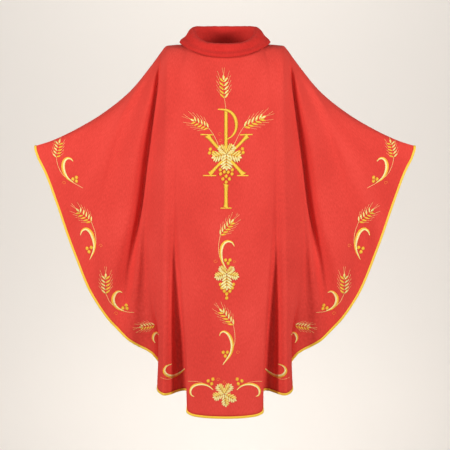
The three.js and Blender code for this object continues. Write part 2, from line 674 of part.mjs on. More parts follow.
// Sprays along the wing hem, drawn on the right-hand wing as (distance from the centre line, up).
const outerWing = [lineIndex.lowCrest, lineIndex.wingTip];
const wingSprays = [
  {
    anchor: 560, region: outerWing,
    draw: () => union([
      wheatEar(flat(585, -391), flat(571, -328), 15, 20),
      ribbon(line([585, -389], [577, -428], [548, -466], [493, -496]), stalkWidth + 1, 1.5, 0.3),
      ribbon(line([526, -404], [545, -394], [561, -421], [538, -472]), 12, 2, 0.4, 6),
      grapes([[526, -466], [514, -460], [514, -473]], [[[514, -473], [512, -488]]]),
    ]),
  },
  {
    anchor: 480, region: outerWing,
    draw: () => union([
      wheatEar(flat(463, -613), flat(517, -570), 14, 20),
      ribbon(line([464, -612], [446, -673], [469, -745]), stalkWidth + 1, 1.5, 0.3),
      ribbon(line([501, -660], [482, -638], [456, -669], [451, -700]), 12, 2, 0.4, 6),
      grapes([[477, -708], [462, -705], [470, -718]], [[[462, -705], [454, -712]]]),
    ]),
  },
  {
    anchor: 400, region: outerWing,
    draw: () => union([
      wheatEar(flat(413, -863), flat(412, -789), 14, 20),
      ribbon(line([412, -861], [395, -897], [358, -922], [316, -928]), stalkWidth + 1, 1.5, 0.3),
      ribbon(line([357, -859], [371, -855], [388, -881], [373, -914]), 12, 2, 0.4, 6),
      grapes([[352, -912], [341, -904], [338, -915]], [[[352, -912], [352, -924]]]),
    ]),
  },
  {
    anchor: 270, region: [lineIndex.wingLap, lineIndex.mainValley],
    draw: () => union([
      wheatEar(flat(258, -974), flat(299, -984), 11, 22),
      ribbon(line([254, -1036], [262, -1014], [258, -990], [262, -974]), 8, 2, 0.5, 5),
    ]),
  },
  {
    anchor: 200, region: [lineIndex.deepValley, lineIndex.tubeEdge],
    draw: () => union([
      ribbon(line([185, -1104], [208, -1115], [203, -1137], [174, -1146], [152, -1134]), 10, 2, 0.5, 7),
      ribbon(line([222, -1148], [198, -1155], [182, -1152], [170, -1146]), stalkWidth, 1.5, 0.4),
    ]),
  },
];

wingSprays.forEach(({ anchor, region, draw }, index) => {
  for (const [hand, sign] of [["left", 1], ["right", -1]]) {
    const drawn = sign > 0 ? draw() : mirrored(draw());
    const columns = region.map((c) => lastLine + sign * c).sort((a, b) => a - b);
    const solid = stitched(frontCloth, drawn, sign * anchor, columns);
    addPiece(`wing_spray_${index + 1}_${hand}`, solid, paleGold);
  }
});

export default group;
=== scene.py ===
# %% [markdown]
# # A red Gothic chasuble
# A chasuble is a very wide, sleeveless church vestment: two large sheets of woven cloth joined on
# the shoulders, a rolled collar, a gold bound hem, and gold embroidery. This notebook hangs the
# cloth around a finished frame. The frame is read first, and its box gives the garment's sizes.

# %% Load the frame
import math
import bpy
import numpy as np
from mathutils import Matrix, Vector, noise
from mathutils.bvhtree import BVHTree


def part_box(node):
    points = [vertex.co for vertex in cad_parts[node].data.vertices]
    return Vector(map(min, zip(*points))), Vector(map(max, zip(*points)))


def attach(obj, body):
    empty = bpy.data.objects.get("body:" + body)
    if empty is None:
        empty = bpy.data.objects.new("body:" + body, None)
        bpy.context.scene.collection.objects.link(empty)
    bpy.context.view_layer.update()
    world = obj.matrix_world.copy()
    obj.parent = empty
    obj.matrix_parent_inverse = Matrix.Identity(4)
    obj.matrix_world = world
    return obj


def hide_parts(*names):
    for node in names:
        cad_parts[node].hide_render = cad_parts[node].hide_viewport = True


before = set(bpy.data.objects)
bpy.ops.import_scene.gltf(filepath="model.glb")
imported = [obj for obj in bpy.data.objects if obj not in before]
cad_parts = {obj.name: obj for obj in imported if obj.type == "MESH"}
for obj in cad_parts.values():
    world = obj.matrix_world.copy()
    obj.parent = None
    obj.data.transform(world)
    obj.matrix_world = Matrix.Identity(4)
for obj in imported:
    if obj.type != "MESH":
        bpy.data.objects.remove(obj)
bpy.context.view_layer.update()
panel_low, panel_high = [Vector(corner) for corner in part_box("front_panel")]
_, back_high = [Vector(corner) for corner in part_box("back_panel")]

# %% [markdown]
# The sizes below are the garment's own: the span and length come from the frame, and the small ones
# are how thick such cloth, binding and thread really are. Everything is in metres.

# %% Sizes of the garment
HALF_SPAN = panel_high.x
LENGTH = -panel_low.z
FRONT_REACH = -panel_low.y - 0.0005
BACK_REACH = back_high.y - 0.0005
CLOTH = 0.0012
BINDING_WIDTH = 0.0068
NECK_HALF_WIDTH = 0.118
FRONT_NECK_DEPTH, FRONT_NECK_DROP = 0.098, 0.038
BACK_NECK_DEPTH, BACK_NECK_DROP = 0.086, 0.008
TAPE_THICKNESS = 0.0006
COLLAR_THICKNESS = 0.0035
print(f"half span {HALF_SPAN:.3f}, length {LENGTH:.3f}")
print(f"reach {FRONT_REACH:.3f} and {BACK_REACH:.3f}")

# %% [markdown]
# ## Finishes
# Every finish is procedural. The scarlet cloth is a fine plain weave, so two crossed waves on the
# piece's own UV map, which is in metres along and across the cloth, make the threads. A slow noise
# makes the slubs and the slightly heathered colour that real wool cloth shows.

# %% Small helpers for materials
def new_material(name, roughness, sheen=0.0, tint=(1, 1, 1)):
    material = bpy.data.materials.new(name)
    material.use_nodes = True
    shader = material.node_tree.nodes["Principled BSDF"]
    shader.inputs["Roughness"].default_value = roughness
    shader.inputs["Specular IOR Level"].default_value = 0.3
    shader.inputs["Sheen Weight"].default_value = sheen
    shader.inputs["Sheen Roughness"].default_value = 0.55
    shader.inputs["Sheen Tint"].default_value = (*tint, 1)
    return material, material.node_tree.nodes, material.node_tree.links, shader


def mapped_coordinates(nodes, links, output, scale):
    coordinates = nodes.new("ShaderNodeTexCoord")
    mapping = nodes.new("ShaderNodeMapping")
    mapping.inputs["Scale"].default_value = scale
    links.new(coordinates.outputs[output], mapping.inputs["Vector"])
    return mapping.outputs["Vector"]


def wave(nodes, links, vector, direction, scale, distortion):
    texture = nodes.new("ShaderNodeTexWave")
    texture.bands_direction = direction
    texture.inputs["Scale"].default_value = scale
    texture.inputs["Distortion"].default_value = distortion
    texture.inputs["Detail"].default_value = 1.0
    links.new(vector, texture.inputs["Vector"])
    return texture.outputs["Fac"]


def noise_texture(nodes, links, vector, scale, detail):
    texture = nodes.new("ShaderNodeTexNoise")
    texture.inputs["Scale"].default_value = scale
    texture.inputs["Detail"].default_value = detail
    links.new(vector, texture.inputs["Vector"])
    return texture.outputs["Fac"]


def math_node(nodes, links, operation, first, second):
    node = nodes.new("ShaderNodeMath")
    node.operation = operation
    for socket, value in zip(node.inputs, (first, second)):
        if isinstance(value, (int, float)):
            socket.default_value = value
        else:
            links.new(value, socket)
    return node.outputs["Value"]


def ramp(nodes, links, factor, stops):
    node = nodes.new("ShaderNodeValToRGB")
    elements = node.color_ramp.elements
    while len(elements) < len(stops):
        elements.new(0.5)
    for element, (place, color) in zip(elements, stops):
        element.position = place
        element.color = (*color, 1)
    links.new(factor, node.inputs["Fac"])
    return node.outputs["Color"]


def bump(nodes, links, shader, height, strength, distance):
    node = nodes.new("ShaderNodeBump")
    node.inputs["Strength"].default_value = strength
    node.inputs["Distance"].default_value = distance
    links.new(height, node.inputs["Height"])
    links.new(node.outputs["Normal"], shader.inputs["Normal"])


# %% Scarlet cloth, used by the panels and, in a darker copy that is painted shade, by the collar
def woven_cloth(name, dark, middle, light, thread=0.0011):
    material, nodes, links, shader = new_material(name, 0.9, 0.08, (1.0, 0.5, 0.4))
    uv = mapped_coordinates(nodes, links, "UV", (1, 1, 1))
    turns = math.pi / 10 / thread
    warp = wave(nodes, links, uv, "X", turns, 1.2)
    weft = wave(nodes, links, uv, "Y", turns, 1.2)
    weave = math_node(nodes, links, "MAXIMUM", warp, weft)
    slub = noise_texture(nodes, links, mapped_coordinates(nodes, links, "UV", (340, 90, 1)), 1.0,
                         4.0)
    cloud = noise_texture(nodes, links, mapped_coordinates(nodes, links, "UV", (6, 4, 1)), 1.0, 3.0)
    tone = math_node(nodes, links, "ADD", math_node(nodes, links, "MULTIPLY", slub, 0.55),
                     math_node(nodes, links, "MULTIPLY", cloud, 0.45))
    color = ramp(nodes, links, tone, [(0.30, dark), (0.5, middle), (0.70, light)])
    links.new(color, shader.inputs["Base Color"])
    height = math_node(nodes, links, "ADD", weave, math_node(nodes, links, "MULTIPLY", slub, 0.8))
    bump(nodes, links, shader, height, 0.35, 0.0004)
    print(name, "threads", thread * 1000, "mm apart")
    return material


scarlet = woven_cloth("scarlet_cloth", (0.66, 0.038, 0.026), (0.77, 0.052, 0.036),
                      (0.86, 0.074, 0.054))
# The collar's copy is a darker red than the panels': painted shade, because the collar hangs in
# shade.
shaded_scarlet = woven_cloth("deep_scarlet_cloth", (0.53, 0.016, 0.011), (0.65, 0.023, 0.016),
                           (0.74, 0.036, 0.026))
crimson = woven_cloth("crimson_tape", (0.42, 0.016, 0.012), (0.52, 0.024, 0.018),
                      (0.60, 0.035, 0.028))

# %% [markdown]
# ## The shape of the hanging cloth
# Hanging cloth is ruled by its fall lines: the lines that run from the neck or the shoulder ridge
# to the hem along every crest and valley. A simulation would find folds of its own, so these lines
# are listed in millimetres, as (across, away from the shoulder line, up), and a smooth
# centripetal spline joins them in both directions. The back uses the same lines with less reach.

# %% Fall lines
DRAWN_SPAN, DRAWN_LENGTH, DRAWN_REACH = 655, 1283, 142


def fall_lines(reach, neck_depth, neck_drop):
    def at(x, away, z):
        return (x / DRAWN_SPAN * HALF_SPAN, away / DRAWN_REACH * reach, z / DRAWN_LENGTH * LENGTH)

    def neck(degrees):
        angle = math.radians(degrees)
        away = max(neck_depth * math.cos(angle), 0.0003)
        return (NECK_HALF_WIDTH * math.sin(angle), away, -neck_drop * math.cos(angle) ** 2)

    def ridge(x, z):
        return (x / DRAWN_SPAN * HALF_SPAN, 0.0003, z / DRAWN_LENGTH * LENGTH)

    return {
        "centre": [neck(0), at(0, 124, -110), at(0, 137, -230), at(0, 142, -628), at(0, 140, -950),
                   at(0, 137, -1283)],
        "chest": [neck(22), at(42, 122, -110), at(42, 135, -230), at(43, 141, -628),
                  at(42, 137, -1282)],
        "breast": [neck(44), at(85, 90, -44), at(86, 114, -100), at(87, 130, -210),
                   at(87, 139, -628), at(84, 134, -1279)],
        "panel_side": [neck(62), at(112, 72, -27), at(118, 104, -84), at(120, 125, -200),
                       at(121, 138, -628), at(115, 131, -1273)],
        "panel_edge": [neck(77), at(126, 52, -15), at(142, 94, -74), at(150, 121, -194),
                       at(151, 138, -628),
                       at(143, 137, -892), at(134, 132, -1060), at(131, 126, -1262)],
        "panel_return": [neck(90), at(136, 44, -14), at(158, 92, -80), at(166, 118, -194),
                         at(167, 134, -628),
                         at(153, 108, -892), at(137, 92, -1060), at(127, 88, -1195)],
        "deep_valley": [ridge(146, -1), at(154, 42, -14), at(170, 90, -80), at(177, 116, -194),
                        at(176, 127, -628),
                        at(171, 90, -888), at(167, 62, -1040), at(156, 50, -1196)],
        "tube_inside": [ridge(168, -2), at(172, 42, -16), at(182, 88, -80), at(188, 115, -194),
                        at(191, 133, -628),
                        at(190, 119, -888), at(188, 104, -1060), at(186, 92, -1203)],
        "tube_crest": [ridge(188, -4), at(191, 40, -18), at(198, 84, -70), at(202, 111, -194),
                       at(205, 136, -628),
                       at(208, 133, -888), at(210, 127, -1040), at(211, 122, -1204)],
        "tube_edge": [ridge(199, -5), at(202, 38, -20), at(207, 74, -64), at(213, 99, -194),
                      at(222, 112, -368),
                      at(232, 118, -628), at(232, 112, -888), at(230, 98, -1040),
                      at(235, 88, -1187)],
        "hidden_fold": [ridge(203, -6), at(206, 36, -22), at(211, 68, -62), at(222, 88, -194),
                        at(240, 94, -368),
                        at(260, 94, -628), at(248, 82, -888), at(220, 48, -1030),
                        at(213, 42, -1128)],
        "wing_lap": [ridge(205, -7), at(208, 34, -24), at(213, 64, -60), at(227, 83, -194),
                     at(245, 87, -368),
                     at(270, 87, -628), at(264, 72, -888), at(250, 52, -1010), at(252, 48, -1067)],
        "low_valley": [ridge(207, -9), at(210, 32, -26), at(215, 60, -58), at(232, 78, -194),
                       at(250, 81, -368),
                       at(278, 79, -628), at(281, 64, -780), at(286, 52, -900), at(292, 36, -1046)],
        "low_crest": [ridge(210, -12), at(213, 30, -28), at(218, 57, -58), at(236, 74, -194),
                      at(257, 77, -368),
                      at(290, 78, -628), at(305, 76, -784), at(322, 60, -900), at(330, 42, -1024)],
        "main_valley": [ridge(214, -17), at(217, 27, -32), at(222, 48, -60), at(241, 55, -194),
                        at(265, 48, -368),
                        at(292, 40, -576), at(333, 46, -784), at(371, 37, -984)],
        "wing_crest": [ridge(220, -25), at(224, 26, -42), at(236, 56, -90), at(260, 82, -194),
                       at(300, 87, -368),
                       at(330, 82, -576), at(392, 72, -800), at(409, 48, -941)],
        "wing_valley": [ridge(232, -42), at(240, 25, -58), at(258, 50, -104), at(300, 60, -194),
                        at(380, 60, -368),
                        at(432, 58, -590), at(461, 42, -861)],
        "arm_lower": [ridge(264, -85), at(274, 26, -100), at(300, 48, -146), at(346, 60, -240),
                      at(414, 64, -420),
                      at(484, 40, -812)],
        "arm": [ridge(330, -164), at(338, 25, -178), at(360, 46, -222), at(430, 60, -368),
                at(489, 54, -576),
                at(503, 38, -764)],
        "arm_outer": [ridge(423, -239), at(430, 22, -252), at(448, 38, -288), at(496, 48, -400),
                      at(540, 32, -667)],
        "wing": [ridge(515, -294), at(522, 17, -307), at(538, 27, -346), at(566, 30, -430),
                 at(582, 24, -545)],
        "wing_end": [ridge(602, -335), at(606, 9, -345), at(612, 14, -370), at(620, 14, -443)],
        "wing_tip": [ridge(655, -352), at(655, 6, -362), at(651, 9, -376), at(644, 10, -396)],
    }


line_names = list(fall_lines(1, 1, 1))
print(len(line_names), "fall lines on each half")

# %% [markdown]
# The spline is centripetal, which passes through every point and never loops between two lines
# that lie close together, as the lines of a sharp fold do.

# %% Smooth splines through points or through whole lines
def spline(points, samples):
    """points is (n, rows, 3); samples[i] is how many steps the stretch after point i takes."""
    points = np.asarray(points, float)
    padded = np.concatenate([2 * points[:1] - points[1:2], points, 2 * points[-1:] - points[-2:-1]])
    gaps = np.maximum(np.linalg.norm(np.diff(padded, axis=0), axis=2) ** 0.5, 1e-6)
    out = []
    for i in range(len(points) - 1):
        p0, p1, p2, p3 = padded[i:i + 4]
        d0, d1, d2 = (gap[:, None] for gap in gaps[i:i + 3])
        start = ((p1 - p0) / d0 - (p2 - p0) / (d0 + d1) + (p2 - p1) / d1) * d1
        end = ((p2 - p1) / d1 - (p3 - p1) / (d1 + d2) + (p3 - p2) / d2) * d1
        for t in np.linspace(0, 1, samples[i], endpoint=False):
            out.append(p1 + start * t + (3 * (p2 - p1) - 2 * start - end) * t ** 2
                       + (2 * (p1 - p2) + start + end) * t ** 3)
    out.append(points[-1])
    return np.array(out)


def along(line, shares):
    """Points at shares of a polyline's length."""
    length = np.concatenate([[0], np.cumsum(np.linalg.norm(np.diff(line, axis=0), axis=1))])
    return np.stack([np.interp(np.asarray(shares) * length[-1], length, line[:, k])
                     for k in range(3)], axis=1)


# %% [markdown]
# Each half is a grid: rows run down each fall line at equal shares of its length, and columns are
# splined across them. The right half mirrors the left, and the two share the centre line. A slow
# noise then moves the cloth a millimetre or two, because no real cloth hangs mathematically smooth.

# %% The cloth grid
ROWS = 150
STEP_ACROSS = 0.0062


def grid_normals(grid, side):
    across = np.gradient(grid, axis=0)
    down = np.gradient(grid, axis=1)
    normals = np.cross(across, down) * side
    return normals / np.maximum(np.linalg.norm(normals, axis=2, keepdims=True), 1e-12)


def ripple(grid, normals, side):
    moved = grid.copy()
    columns, rows = grid.shape[:2]
    for c in range(columns):
        for r in range(rows):
            x, y, z = grid[c, r]
            place = Vector((x * 9.0, side * 3.7, z * 3.2))
            fine = Vector((x * 26.0, side * 1.3 + 5.0, z * 9.0))
            amount = 0.0022 * noise.noise(place) + 0.0008 * noise.noise(fine)
            edge = min(1.0, r / (0.06 * rows))
            moved[c, r] += normals[c, r] * amount * edge
    return moved


def cloth_grid(side, reach, neck_depth, neck_drop):
    row_shares = np.linspace(0, 1, ROWS) ** 1.15
    half = []
    for line in fall_lines(reach, neck_depth, neck_drop).values():
        dense = spline(np.array(line)[:, None, :], [24] * (len(line) - 1))[:, 0]
        half.append(along(dense, row_shares))
    half = np.array(half)
    lines = np.concatenate([half[:0:-1] * (-1, 1, 1), half])
    middle = lines[:, int(ROWS * 0.55)]
    lengths = np.linalg.norm(np.diff(middle, axis=0), axis=1)
    steps = np.maximum(2, np.round(lengths / STEP_ACROSS)).astype(int)
    grid = spline(lines, steps) * (1, side, 1)
    grid[:, 0, 1] = np.where(np.abs(grid[:, 0, 0]) > NECK_HALF_WIDTH, side * 0.0002, grid[:, 0, 1])
    normals = grid_normals(grid, side)
    grid = ripple(grid, normals, side)
    normals = grid_normals(grid, side)
    line_columns = np.concatenate([[0], np.cumsum(steps)])
    return grid, normals, line_columns


front_grid, front_normals, line_columns = cloth_grid(
    -1, FRONT_REACH, FRONT_NECK_DEPTH, FRONT_NECK_DROP)
back_grid, back_normals, _ = cloth_grid(1, BACK_REACH, BACK_NECK_DEPTH, BACK_NECK_DROP)
print("cloth grid", front_grid.shape[:2])

# %% [markdown]
# A grid becomes a mesh with a UV map in metres, measured along the cloth itself, so that the weave
# keeps its scale over every fold. Solidify gives the sheet its thickness on the inner side.

# %% From a grid to a mesh
def grid_uv(grid):
    across = np.linalg.norm(np.diff(grid, axis=0), axis=2)
    down = np.linalg.norm(np.diff(grid, axis=1), axis=2)
    u = np.zeros(grid.shape[:2])
    u[1:] = np.cumsum(np.repeat(across[:, across.shape[1] // 2][:, None], grid.shape[1], axis=1),
                      axis=0)
    v = np.zeros(grid.shape[:2])
    v[:, 1:] = np.cumsum(down, axis=1)
    return np.stack([u, -v], axis=2)


def grid_object(name, grid, material, flip, closed=False):
    columns, rows = grid.shape[:2]
    index = np.arange(columns * rows).reshape(columns, rows)
    ahead = np.roll(index, -1, axis=0) if closed else index[1:]
    here = index if closed else index[:-1]
    quads = np.stack([here[:, :-1], ahead[:, :-1], ahead[:, 1:], here[:, 1:]], axis=2)
    quads = quads.reshape(-1, 4)
    if flip:
        quads = quads[:, ::-1]
    mesh = bpy.data.meshes.new(name)
    mesh.from_pydata(grid.reshape(-1, 3).tolist(), [], quads.tolist())
    uv_layer = mesh.uv_layers.new(name="UVMap")
    corners = np.empty(len(mesh.loops), int)
    mesh.loops.foreach_get("vertex_index", corners)
    uv_layer.data.foreach_set("uv", grid_uv(grid).reshape(-1, 2)[corners].ravel())
    mesh.polygons.foreach_set("use_smooth", [True] * len(mesh.polygons))
    mesh.materials.append(material)
    piece = bpy.data.objects.new(name, mesh)
    bpy.context.collection.objects.link(piece)
    return piece


def apply_modifiers(piece):
    evaluated = piece.evaluated_get(bpy.context.evaluated_depsgraph_get())
    mesh = bpy.data.meshes.new_from_object(evaluated)
    piece.modifiers.clear()
    piece.data = mesh
    return piece


def thicken(piece, thickness, offset=-1.0):
    solidify = piece.modifiers.new("Thickness", "SOLIDIFY")
    solidify.thickness = thickness
    solidify.offset = offset
    solidify.use_even_offset = False
    return apply_modifiers(piece)


def triangles(piece):
    return sum(len(face.vertices) - 2 for face in piece.data.polygons)


def finish_piece(piece, slot, *nodes):
    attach(piece, "root")
    if nodes:
        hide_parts(*nodes)
    print(f"{piece.name}: {triangles(piece)} triangles")
    return piece


# %% [markdown]
# ## The front and back panels
# The two sheets meet on the shoulder ridge.

# %% Make the panels
def mesh_area(grid):
    a = grid[1:, :-1] - grid[:-1, :-1]
    b = grid[:-1, 1:] - grid[:-1, :-1]
    return float(np.linalg.norm(np.cross(a, b), axis=2).sum())


front_piece = grid_object("front_cloth", front_grid, scarlet, flip=True)
back_piece = grid_object("back_cloth", back_grid, scarlet, flip=False)
surfaces = {-1: BVHTree.FromPolygons([tuple(p) for p in front_grid.reshape(-1, 3)],
                                     [tuple(f.vertices) for f in front_piece.data.polygons]),
            1: BVHTree.FromPolygons([tuple(p) for p in back_grid.reshape(-1, 3)],
                                    [tuple(f.vertices) for f in back_piece.data.polygons])}
for piece, grid, node in ((front_piece, front_grid, "front_panel"),
                          (back_piece, back_grid, "back_panel")):
    thicken(piece, CLOTH)
    finish_piece(piece, "vestment_cloth", node)

# %% [markdown]
# ## The hem binding
# A gold bias strip is folded round the cut edge and stitched down. It is swept along the edge of
# each panel: down one wing tip, along the hem and up the other, with a flat rounded section whose
# inner half wraps the cloth.

# %% Sweep a section along an edge
def closed_sweep(name, sections, material, ring=False):
    """sections is (stations, corners, 3); the corners close on themselves."""
    stations, corners = sections.shape[:2]
    wrapped = np.concatenate([sections, sections[:, :1]], axis=1)
    sides = np.diff(wrapped.mean(axis=0), axis=0)
    ring_lengths = np.concatenate([[0], np.cumsum(np.linalg.norm(sides, axis=1))])
    centres = sections.mean(axis=1)
    lengths = np.concatenate([[0], np.cumsum(np.linalg.norm(np.diff(centres, axis=0), axis=1))])
    closed_length = lengths[-1] + np.linalg.norm(centres[0] - centres[-1])
    faces, uvs = [], []
    for s in range(stations if ring else stations - 1):
        after = (s + 1) % stations
        far = lengths[s + 1] if s + 1 < stations else closed_length
        for k in range(corners):
            right = (k + 1) % corners
            faces.append((s * corners + k, after * corners + k, after * corners + right,
                          s * corners + right))
            uvs += [(lengths[s], ring_lengths[k]), (far, ring_lengths[k]),
                    (far, ring_lengths[k + 1]), (lengths[s], ring_lengths[k + 1])]
    if not ring:
        faces.append(tuple(range(corners)))
        faces.append(tuple(range((stations - 1) * corners, stations * corners))[::-1])
        uvs += [(0, 0)] * (2 * corners)
    mesh = bpy.data.meshes.new(name)
    mesh.from_pydata(sections.reshape(-1, 3).tolist(), [], faces)
    mesh.uv_layers.new(name="UVMap").data.foreach_set("uv", np.array(uvs).ravel())
    if signed_volume(mesh) < 0:
        mesh.flip_normals()
    mesh.polygons.foreach_set("use_smooth", [True] * len(mesh.polygons))
    mesh.materials.append(material)
    piece = bpy.data.objects.new(name, mesh)
    bpy.context.collection.objects.link(piece)
    return piece


def signed_volume(mesh):
    points = [v.co for v in mesh.vertices]
    total = 0.0
    for face in mesh.polygons:
        a = points[face.vertices[0]]
        for i in range(1, len(face.vertices) - 1):
            total += a.dot(points[face.vertices[i]].cross(points[face.vertices[i + 1]])) / 6
    return total


# %% Binding finish: satin with fine slanting ribs
def satin_ribs(name, dark, middle, light):
    material, nodes, links, shader = new_material(name, 0.42, 0.1, (1, 0.9, 0.6))
    slanted = mapped_coordinates(nodes, links, "UV", (1, 1, 1))
    slanted.node.inputs["Rotation"].default_value = (0, 0, math.radians(38))
    ribs = wave(nodes, links, slanted, "X", math.pi / 10 / 0.0012, 0.6)
    grain = noise_texture(nodes, links, mapped_coordinates(nodes, links, "UV", (500, 900, 1)), 1.0,
                          2.0)
    mixed = math_node(nodes, links, "ADD", math_node(nodes, links, "MULTIPLY", ribs, 0.6),
                      math_node(nodes, links, "MULTIPLY", grain, 0.4))
    links.new(ramp(nodes, links, mixed, [(0.2, dark), (0.5, middle), (0.85, light)]),
              shader.inputs["Base Color"])
    bump(nodes, links, shader, mixed, 0.5, 0.0004)
    return material


gold_satin = satin_ribs("gold_satin", (0.86, 0.44, 0.012), (1.0, 0.62, 0.030), (1.0, 0.78, 0.12))

# %% Make the bindings
BINDING_HALF = 0.0017
WRAP = 0.0012
BINDING_STATIONS, BINDING_CORNERS = 900, 14


def hem_edge(grid, normals):
    rows = grid.shape[1]
    skip = slice(None, rows - 1)
    points = np.concatenate([grid[0, skip], grid[:, -1], grid[-1, skip][::-1]])
    inner = np.concatenate([grid[1, skip], grid[:, -2], grid[-2, skip][::-1]])
    normal = np.concatenate([normals[0, skip], normals[:, -1], normals[-1, skip][::-1]])
    out = np.cross(np.gradient(points, axis=0), normal)
    out /= np.linalg.norm(out, axis=1, keepdims=True)
    out *= np.sign(np.sum(out * (points - inner), axis=1, keepdims=True))
    return points, out, normal


def binding_sections(grid, normals, side):
    points, out, normal = hem_edge(grid, normals)
    travelled = np.concatenate([[0], np.cumsum(np.linalg.norm(np.diff(points, axis=0), axis=1))])
    stations = np.linspace(0, travelled[-1], BINDING_STATIONS)
    points, out, normal = [np.stack([np.interp(stations, travelled, v[:, k]) for k in range(3)],
                                    axis=1)
                           for v in (points, out, normal)]
    out[[0, -1], 1] = 0
    normal[[0, -1], 1] = 0
    out /= np.linalg.norm(out, axis=1, keepdims=True)
    normal /= np.linalg.norm(normal, axis=1, keepdims=True)
    sections = []
    for angle in np.linspace(0, 2 * math.pi, BINDING_CORNERS, endpoint=False):
        reach = 0.5 + 0.5 * np.sign(math.cos(angle)) * abs(math.cos(angle)) ** 0.55
        height = np.sign(math.sin(angle)) * abs(math.sin(angle)) ** 0.8 * BINDING_HALF
        sections.append(points + out * (-WRAP + reach * (BINDING_WIDTH + WRAP)) + normal * height)
    sections = np.stack(sections, axis=1)
    sections[..., 1] = side * np.maximum(side * sections[..., 1], 0.0002)
    return sections


for side, grid, normals, word in ((-1, front_grid, front_normals, "front"),
                                  (1, back_grid, back_normals, "back")):
    binding = closed_sweep(f"binding_{word}", binding_sections(grid, normals, side), gold_satin)
    finish_piece(binding, "gold_braid", f"hem_binding_{word}")

# %% [markdown]
# ## Inside the shoulders and the neck
# Cotton tapes cover the shoulder seams and facings finish the neckline. They lie against the inner
# side of the cloth, so both are lifted off the same grid, towards the inside.

# %% Seam tapes and neck facings
UNDER = CLOTH + 0.0005
FACING_ROWS, TAPE_ROWS = 9, 4


def strip_between(grid, normals, columns, depth, rows):
    return grid[columns[0]:columns[1], :rows] - normals[columns[0]:columns[1], :rows] * depth


last_line = len(line_names) - 1
for word, grid, normals, flip in (("front", front_grid, front_normals, True),
                                  ("back", back_grid, back_normals, False)):
    edge = line_names.index("panel_edge")
    columns = (line_columns[last_line - edge], line_columns[last_line + edge] + 1)
    facing_grid = strip_between(grid, normals, columns, UNDER, FACING_ROWS)
    facing = grid_object(f"facing_{word}", facing_grid, crimson, flip)
    thicken(facing, TAPE_THICKNESS)
    finish_piece(facing, "lining_tape", f"neck_facing_{word}")

for hand, sign in (("left", 1), ("right", -1)):
    lines = sorted((last_line + sign * line_names.index("deep_valley"),
                    last_line + sign * line_names.index("wing")))
    columns = (line_columns[lines[0]], line_columns[lines[1]] + 1)
    front_strip = strip_between(front_grid, front_normals, columns, UNDER, TAPE_ROWS)
    back_strip = strip_between(back_grid, back_normals, columns, UNDER, TAPE_ROWS)
    middle = (front_strip[:, :1] + back_strip[:, :1]) / 2
    tape_grid = np.concatenate([front_strip[:, :0:-1], middle, back_strip[:, 1:]], axis=1)
    tape = grid_object(f"seam_tape_{hand}", tape_grid, crimson, flip=False)
    thicken(tape, TAPE_THICKNESS)
    finish_piece(tape, "lining_tape", f"shoulder_seam_tape_{hand}")

# %% [markdown]
# ## The rolled collar
# The collar is one strip of doubled cloth: it stands up from the neckline, rolls over a soft crest
# and falls outside, with its lower edge lying on the cloth. Stations round the neck give the crest,
# the neckline and the lower edge, and a spline through them makes the roll.

# %% Collar stations
CREST = dict(half_width=0.106, front=0.080, back=0.072, front_height=0.0, back_height=0.057)
FALL = dict(half_width=0.157, front=0.108, back=0.112, side_height=0.005, front_height=-0.045,
            back_height=-0.004)


def oval(angle, half_width, front, back, height):
    depth = front if math.cos(angle) > 0 else back
    return Vector((half_width * math.sin(angle), -depth * math.cos(angle), height))


def collar_profile(angle):
    forward = math.cos(angle) > 0
    share = min(1, 1.35 * (1 - math.cos(angle)) / 2)
    rise = math.sin(share * math.pi / 2) ** 1.4
    crest_height = CREST["front_height"] + (CREST["back_height"] - CREST["front_height"]) * rise
    crest = oval(angle, CREST["half_width"], CREST["front"], CREST["back"], crest_height)
    neck_drop = FRONT_NECK_DROP if forward else BACK_NECK_DROP
    neckline = oval(angle, NECK_HALF_WIDTH, FRONT_NECK_DEPTH, BACK_NECK_DEPTH,
                    -neck_drop * math.cos(angle) ** 2)
    end_height = FALL["front_height"] if forward else FALL["back_height"]
    end_share = abs(math.cos(angle)) ** 1.7
    lower_height = FALL["side_height"] + (end_height - FALL["side_height"]) * end_share
    lower = oval(angle, FALL["half_width"], FALL["front"], FALL["back"], lower_height)
    out = (lower - crest)
    out.z = 0
    out.normalize()
    up = Vector((0, 0, 1))
    wobble = noise.noise(Vector((3.1 * math.sin(angle), 3.1 * math.cos(angle), 1.7))) * 0.0022
    soft = noise.noise(Vector((7.0 * math.sin(angle), 7.0 * math.cos(angle), 4.2))) * 0.0012
    middle = crest.lerp(lower, 0.52)
    sideways = math.sin(angle) ** 2
    return [
        lower - out * 0.004 + up * 0.0035,
        lower + out * 0.0006 + up * 0.0006,
        lower.lerp(crest, 0.14) + out * (0.0065 - 0.003 * sideways) + up * 0.0045,
        middle + out * (0.0025 + 0.003 * sideways + wobble) + up * (0.0030 + wobble),
        crest.lerp(lower, 0.22) + out * (0.0105 - 0.003 * sideways + soft) + up
        * (0.0085 - 0.001 * sideways + soft),
        crest + out * 0.006 + up * (0.0045 + soft),
        crest - out * 0.003 + up * 0.001,
        crest - out * 0.0045 - up * 0.010,
        neckline.lerp(crest, 0.45) - out * 0.003,
        neckline + up * 0.003,
    ]


# %% Make the collar
COLLAR_STATIONS = 240
COLLAR_STEPS = [2, 3, 5, 6, 5, 5, 4, 4, 4]


def collar_grid():
    columns = []
    for i in range(COLLAR_STATIONS):
        profile = collar_profile(2 * math.pi * i / COLLAR_STATIONS)
        profile_points = np.array([tuple(p) for p in profile])
        columns.append(spline(profile_points[:, None, :], COLLAR_STEPS)[:, 0])
    return np.array(columns)
